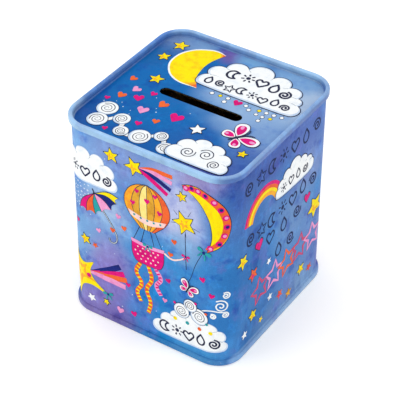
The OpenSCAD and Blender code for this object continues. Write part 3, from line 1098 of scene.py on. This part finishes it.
pressPiece("rightScatter", "wall", {
    "hearts": (each, heart, [(57.5, 50.6, 2.7, 8), (95, 50, 2.3, -8)], "magenta", 0, "pen"),
    "stars": (stars, [(45.5, 50, 3.7, "yellow"), (53.5, 38, 3.5, "orange"), (65.5, 36.5, 1.9, "white"),
        (102, 41, 6, "yellow"), (54, 16, 3.1, "yellow"), (48, 9.5, 2.3, "white"), (67.5, 16, 2.1, "white"),
        (75.5, 11.5, 2.7, "orange"), (92.5, 13, 3.1, "yellow"), (83, 6.8, 2.7, "gold"),
        (100, 9, 2.3, "orange"), (60.6, 8.6, 1.7, "yellow")], 20, 3, 2, "magenta"),
})
print("right wall printed")

pressPiece("backSky", "wall", {
    "moon": (bandedMoon, *moonArcs(136, 70, 13, 180, 0.55), (136, 70)),
    "string": (stroke, [(140.5, 58), (142, 52), (141, 46)], "pen", 0, 0.24),
    "bow": (bow, 140.6, 58.4, 1.9, 15, "teal", 8),
    "star": (star, 143, 72, 4.4, 12, 1, 5),
    "smallStar": (star, 127, 86, 2.8, -10, 1),
    "tail": (ribbons, (151.5, 86), [(158, 88, 167, 90.4, "orange"), (158, 86.4, 168, 87, "pink"),
        (158, 85, 167.6, 83.6, "navy"), (157, 84, 166, 80.4, "magenta")], 2.1),
    "shootingStar": (star, 150, 86, 4.4, -8, 2),
})
pressPiece("backCloud", "wall", {
    "cloud": (cloud, [(150, 60, 0.04), (174, 59.4, 0.55), (175.4, 65, 0.5), (171, 70.4, 0.58),
        (163, 73.4, 0.6), (155, 71.4, 0.55), (150, 66, 0.5)], 1),
    "doodles": (doodles, [(154.6, 65), (160.4, 66.4), (166.2, 66), (171, 63.6)], 5.4, "pen", 6, 0.65),
    "rain": (rain, 153, 57, 3.3, 24, 0.3),
})
pressPiece("backLow", "wall", {
    "cloud": (cloud, [(124, 6, 0.03), (158, 6, 0.5), (159, 12, 0.5), (154, 18, 0.5), (146, 20.4, 0.5),
        (136, 20, 0.5), (128, 17, 0.5), (123.6, 11, 0.55)], 1),
    "doodles": (doodles, [(129, 10.6), (135.4, 11.2), (141.8, 10.8), (148.2, 11.4), (153.8, 10.6)],
        5.8, "pen", 6, 0.65),
    "puffs": (each, puff, [(131, 22.6, 3.6, 0, 6), (138.4, 25, 4.2, 70, 10), (146, 23.6, 3.4, 140, 6)]),
    "butterfly": (butterfly, 146, 35, 6, 18, 4),
    "tail": (ribbons, (164, 30), [(156, 38, 150, 44, "navy"), (155, 36.4, 147.6, 41, "magenta"),
        (155, 35, 147, 38, "orange")], 2.6),
    "star": (star, 167, 27, 9.5, 24, 3),
    "dot": (dot, 165.4, 28.6, 0.9, "magenta", 7),
})
pressPiece("leftBalloon", "wall", {
    "gores": (gores, -60, [(84, 0.3), (82.2, 5.6), (78.4, 9.6), (72.6, 11.2), (66.8, 9.2), (62.6, 5.4),
        (60.6, 3.4)], ["teal", "navy", "magenta", "pink", "orange", "yellow"]),
    "cords": (cords, 61, 54.6, [(-62.8, -65), (-60.56, -61.6), (-59.44, -58.4), (-57.2, -55)]),
    "basket": (basket, [(-65.6, 54.6, 0), (-60, 53.8), (-54.4, 54.6, 0), (-55.6, 47.6), (-57.4, 46.6, 0),
        (-62.6, 46.6, 0), (-64.4, 47.6)], "gold"),
    "weave": (each, stroke, [([(-65, 52.6 - 2 * k), (-60, 51.9 - 2 * k),
        (-55, 52.6 - 2 * k)],) for k in range(3)], "amber", 2, 0.6),
    "bow": (bow, -60, 54.4, 1.7, 0, "magenta", 3),
})
pressPiece("leftRainbow", "wall", {
    "rainbow": (rainbow, -86, 38, [(15.9, "magenta"), (14.2, "orange"), (12.5, "yellow"), (10.8, "teal")],
        172, 8, 2.0),
    "nearCloud": (cloud, [(-109, 35, 0.04), (-93, 34.4, 0.55), (-92.4, 39.4, 0.55), (-97, 43, 0.6),
        (-103.6, 43.4, 0.55), (-109, 40, 0.5)], 2),
    "farCloud": (cloud, [(-80, 35, 0.04), (-63, 34.6, 0.55), (-62, 39, 0.5), (-66.4, 42.6, 0.55),
        (-73, 43.6, 0.55), (-79, 40.4, 0.5)], 2),
    "highCloud": (cloud, [(-104, 72, 0.04), (-79, 71.4, 0.55), (-78, 76.4, 0.5), (-83, 81, 0.58),
        (-91, 83.4, 0.6), (-99, 81.6, 0.55), (-104.6, 77, 0.5)], 2),
    "doodles": (doodles, [(-99.6, 76.4), (-93.6, 77.8), (-87.6, 77.4), (-82.4, 75.4)], 5.4, "pen", 7, 0.65),
})
pressPiece("leftAndBackScatter", "wall", {
    "hearts": (hearts, [(148, 50, 1.4), (163, 47, 1.2), (129, 44, 1.3), (172, 44, 1.5), (156, 27, 1.2),
        (134, 33, 1.2), (168, 77, 1.2), (-95, 62, 1.5), (-72, 60, 1.3), (-86, 66, 1.2), (-104, 54, 1.3),
        (-50, 44, 1.4), (-86, 41, 2.2), (-49, 28, 1.2)], 22, 3, ["magenta", "orange", "pink"]),
    "stars": (stars, [(123, 58, 2.8, "yellow"), (172, 10, 3, "yellow"), (166, 14, 1.8, "white"),
        (124, 34, 2.4, "orange"), (160, 52, 2.2, "yellow"), (-100, 89, 2.8, "yellow"),
        (-74, 88, 2.2, "orange"), (-98, 60, 2.4, "yellow"), (-106, 66, 1.8, "white"), (-49, 60, 3, "yellow"),
        (-52, 36, 2.4, "yellow"), (-58, 8, 2.6, "yellow"), (-70, 27, 2, "white"), (-82, 8, 2.4, "orange"),
        (-106, 25, 3, "yellow"), (-47, 80, 2, "white")], 20, 2.5, 3),
    "chain": (starChain, [(-101, 15.6, 8, "rose"), (-89, 16.4, -6, "pink"), (-77, 15.8, 10, "orange"),
        (-65, 16.2, -8, "rose")]),
})
print("back and left walls printed")

pressPiece("lidMoon", "lid", {
    "moon": (crescent, [(-10.2, 34.7), (-14.4, 35.4), (-18.4, 34.4), (-24.6, 29.6), (-27, 22), (-24.6, 14.6),
        (-18, 9.4), (-7.6, 8.6)], [(-11.4, 14), (-12.9, 19.6), (-13.2, 25.4), (-12, 30.6)], 0),
    "stars": (stars, [(-30, 31, 3.4, "yellow"), (-31.4, 20.4, 2.9, "yellow"), (-24.5, 5, 3.4, "yellow")],
        15, 0, 4),
})
pressPiece("lidCloud", "lid", {
    "cloud": (cloud, [(-9.5, 12, 0.02), (32.5, 11.8, 0.55), (32.6, 19.4, 0.55), (30.2, 23.8, 0.6),
        (23.8, 28.4, 0.6), (14.8, 30.8, 0.62), (3.2, 31, 0.6), (-5, 27, 0.6), (-8.6, 19.5, 0.42)], 4),
    "highDoodles": (doodles, [(0, 24.6), (6.4, 25.6), (12.8, 25.4), (19, 25), (24.6, 23.4)],
        6.6, "pen", 9, 0.95),
    "lowDoodles": (doodles, [(-6.4 + 5.1 * i, 16 + 0.8 * math.sin(i * 2.3)) for i in range(8)],
        5.2, "pen", 9, 0.75),
})
pressPiece("lidBeads", "lid", {
    "beads": (beads, [(3.4, 9.2, "yellow"), (7, 9.3, "white"), (6.9, 6.5, "white"), (15.7, 8.8, "white"),
        (18, 7, "white"), (21.8, 8.8, "yellow"), (22, 6, "white"), (25, 9, "white"), (25, 5.8, "white"),
        (24.9, 2.8, "white"), (28.3, 9.2, "white"), (28.3, 6.3, "yellow"), (31.7, 9.5, "white"),
        (-0.4, 9, "white")]),
    "heart": (heart, 11.8, 8.6, 2, 0, "magenta", 1),
})
pressPiece("lidHearts", "lid", {
    "hearts": (hearts, [(-32.5, 0.2, 1.7, "orange"), (-27, -5.5, 2, "pink"), (-22.8, -10, 2.2, "magenta"),
        (-29.7, -12, 2, "orange"), (-12, -8.5, 2.3, "orange"), (-2.7, -13.2, 3, "magenta"),
        (-16.7, -16, 2.5, "pink"), (-8, -19.5, 1.6, "orange"), (-13, -24.3, 1.5, "magenta"),
        (-22, -34, 1.2, "magenta"), (-19.4, -4.4, 1.5, "magenta"), (-33.4, -16.6, 1.2, "magenta")], 30, 2),
    "specks": (sizedSpecks, 14, (0.2, 0.34), (-34, 2), (-22, -5)),
})
pressPiece("lidPuffs", "lid", {
    "way": (linedStroke, [(-29, -22.5), (-28, -30.5), (-20, -25), (-15.7, -32.5), (-7.5, -31.5), (-0.3, -27),
        (5, -32.3), (12, -32)], "white", 1.7, 0.6),
    "puffs": (each, puff, [(-29, -22.5, 4.4, 0, 2), (-28, -30.8, 4.2, 70, 6), (-20, -25.4, 3.5, 140, 2),
        (-15.7, -32.3, 3.1, 210, 6), (-7.5, -31.3, 4.4, 280, 2), (-0.5, -26.8, 2.9, 350, 6),
        (5, -32.3, 3.5, 420, 2)]),
})
pressPiece("lidLowCloud", "lid", {
    "cloud": (cloud, [(8.4, -35.4, 0.02), (30.4, -35.2, 0.5), (30.6, -29.6, 0.5), (26, -24.4, 0.5),
        (19.4, -21.6, 0.5), (12.4, -22.6, 0.5), (7.8, -28, 0.5)], 10),
    "curls": (each, curl, [(13.6, -29.6, 3.2, 30), (20.6, -27.6, 3.4, 160), (26.4, -31.4, 2.5, 250)],
        2, "pen", 14, 0.4),
    "butterfly": (butterfly, 24, -11.6, 9.6, -38, 8),
    "whiteStar": (star, 8.6, -15.4, 3.2, 12, 8, 0, "white", None),
    "star": (star, 31.6, -19.4, 2.2, -8, 8),
})
print("lid printed")


studio = {
    "aim": (0.0, 0.0, 0.045), "pivot": (0.0, 0.0, 0.0478), "azimuth": 33.07, "elevation": 37.98,
    "distance": 0.6493, "roll": 0.3, "lens": 141.5, "sensor": 36,
    "lights": {"softLeft": ((-0.9, -0.8, 1.1), 1.3, 5), "softTop": ((0.2, 0.1, 1.4), 1.0, 2)},
    "lit": (0, 0, 0.05), "room": (1.0, 1.0, 1.0, 1.0),
    "floorSize": 4.0, "floor": (0.96, 0.955, 0.935, 1), "floorRoughness": 0.7, "floorGlow": 0.15,
}


def facing(place, target):  # stands at the place and looks at the target
    turn = (Vector(target) - Vector(place)).to_track_quat("-Z", "Y")
    return Matrix.Translation(place) @ turn.to_matrix().to_4x4()


def setCamera():
    data = bpy.data.cameras.new("camera")
    data.lens = studio["lens"]
    data.sensor_width = studio["sensor"]
    camera = bpy.data.objects.new("camera", data)
    bpy.context.scene.collection.objects.link(camera)
    azimuth, elevation = math.radians(studio["azimuth"]), math.radians(studio["elevation"])
    reach = math.cos(elevation)
    back = Vector((math.sin(azimuth) * reach, -math.cos(azimuth) * reach, math.sin(elevation)))
    place = Vector(studio["pivot"]) + back * studio["distance"]
    roll = Matrix.Rotation(math.radians(studio["roll"]), 4, "Z")
    camera.matrix_world = facing(place, studio["aim"]) @ roll
    bpy.context.scene.camera = camera


def setLights():
    for name, (place, size, power) in studio["lights"].items():
        data = bpy.data.lights.new(name, "AREA")
        data.shape = "DISK"
        data.size = size
        data.energy = power
        lamp = bpy.data.objects.new(name, data)
        bpy.context.scene.collection.objects.link(lamp)
        lamp.matrix_world = facing(place, studio["lit"])
    room = bpy.data.worlds.new("paleRoom")
    room.use_nodes = True
    room.node_tree.nodes["Background"].inputs["Color"].default_value = studio["room"]
    bpy.context.scene.world = room
    bpy.context.scene.view_settings.view_transform = "Standard"


def setFloor():
    bm = bmesh.new()
    bmesh.ops.create_grid(bm, x_segments=2, y_segments=2, size=studio["floorSize"])
    mesh = bpy.data.meshes.new("floor")
    bm.to_mesh(mesh)
    bm.free()
    pale = bpy.data.materials.new("paleFloor")
    pale.use_nodes = True
    sockets = pale.node_tree.nodes["Principled BSDF"].inputs
    sockets["Base Color"].default_value = studio["floor"]
    sockets["Roughness"].default_value = studio["floorRoughness"]
    sockets["Emission Color"].default_value = (1, 1, 1, 1)
    sockets["Emission Strength"].default_value = studio["floorGlow"]
    mesh.materials.append(pale)
    floor = bpy.data.objects.new("floor", mesh)
    bpy.context.scene.collection.objects.link(floor)


setCamera()
setLights()
setFloor()
print("studio ready")
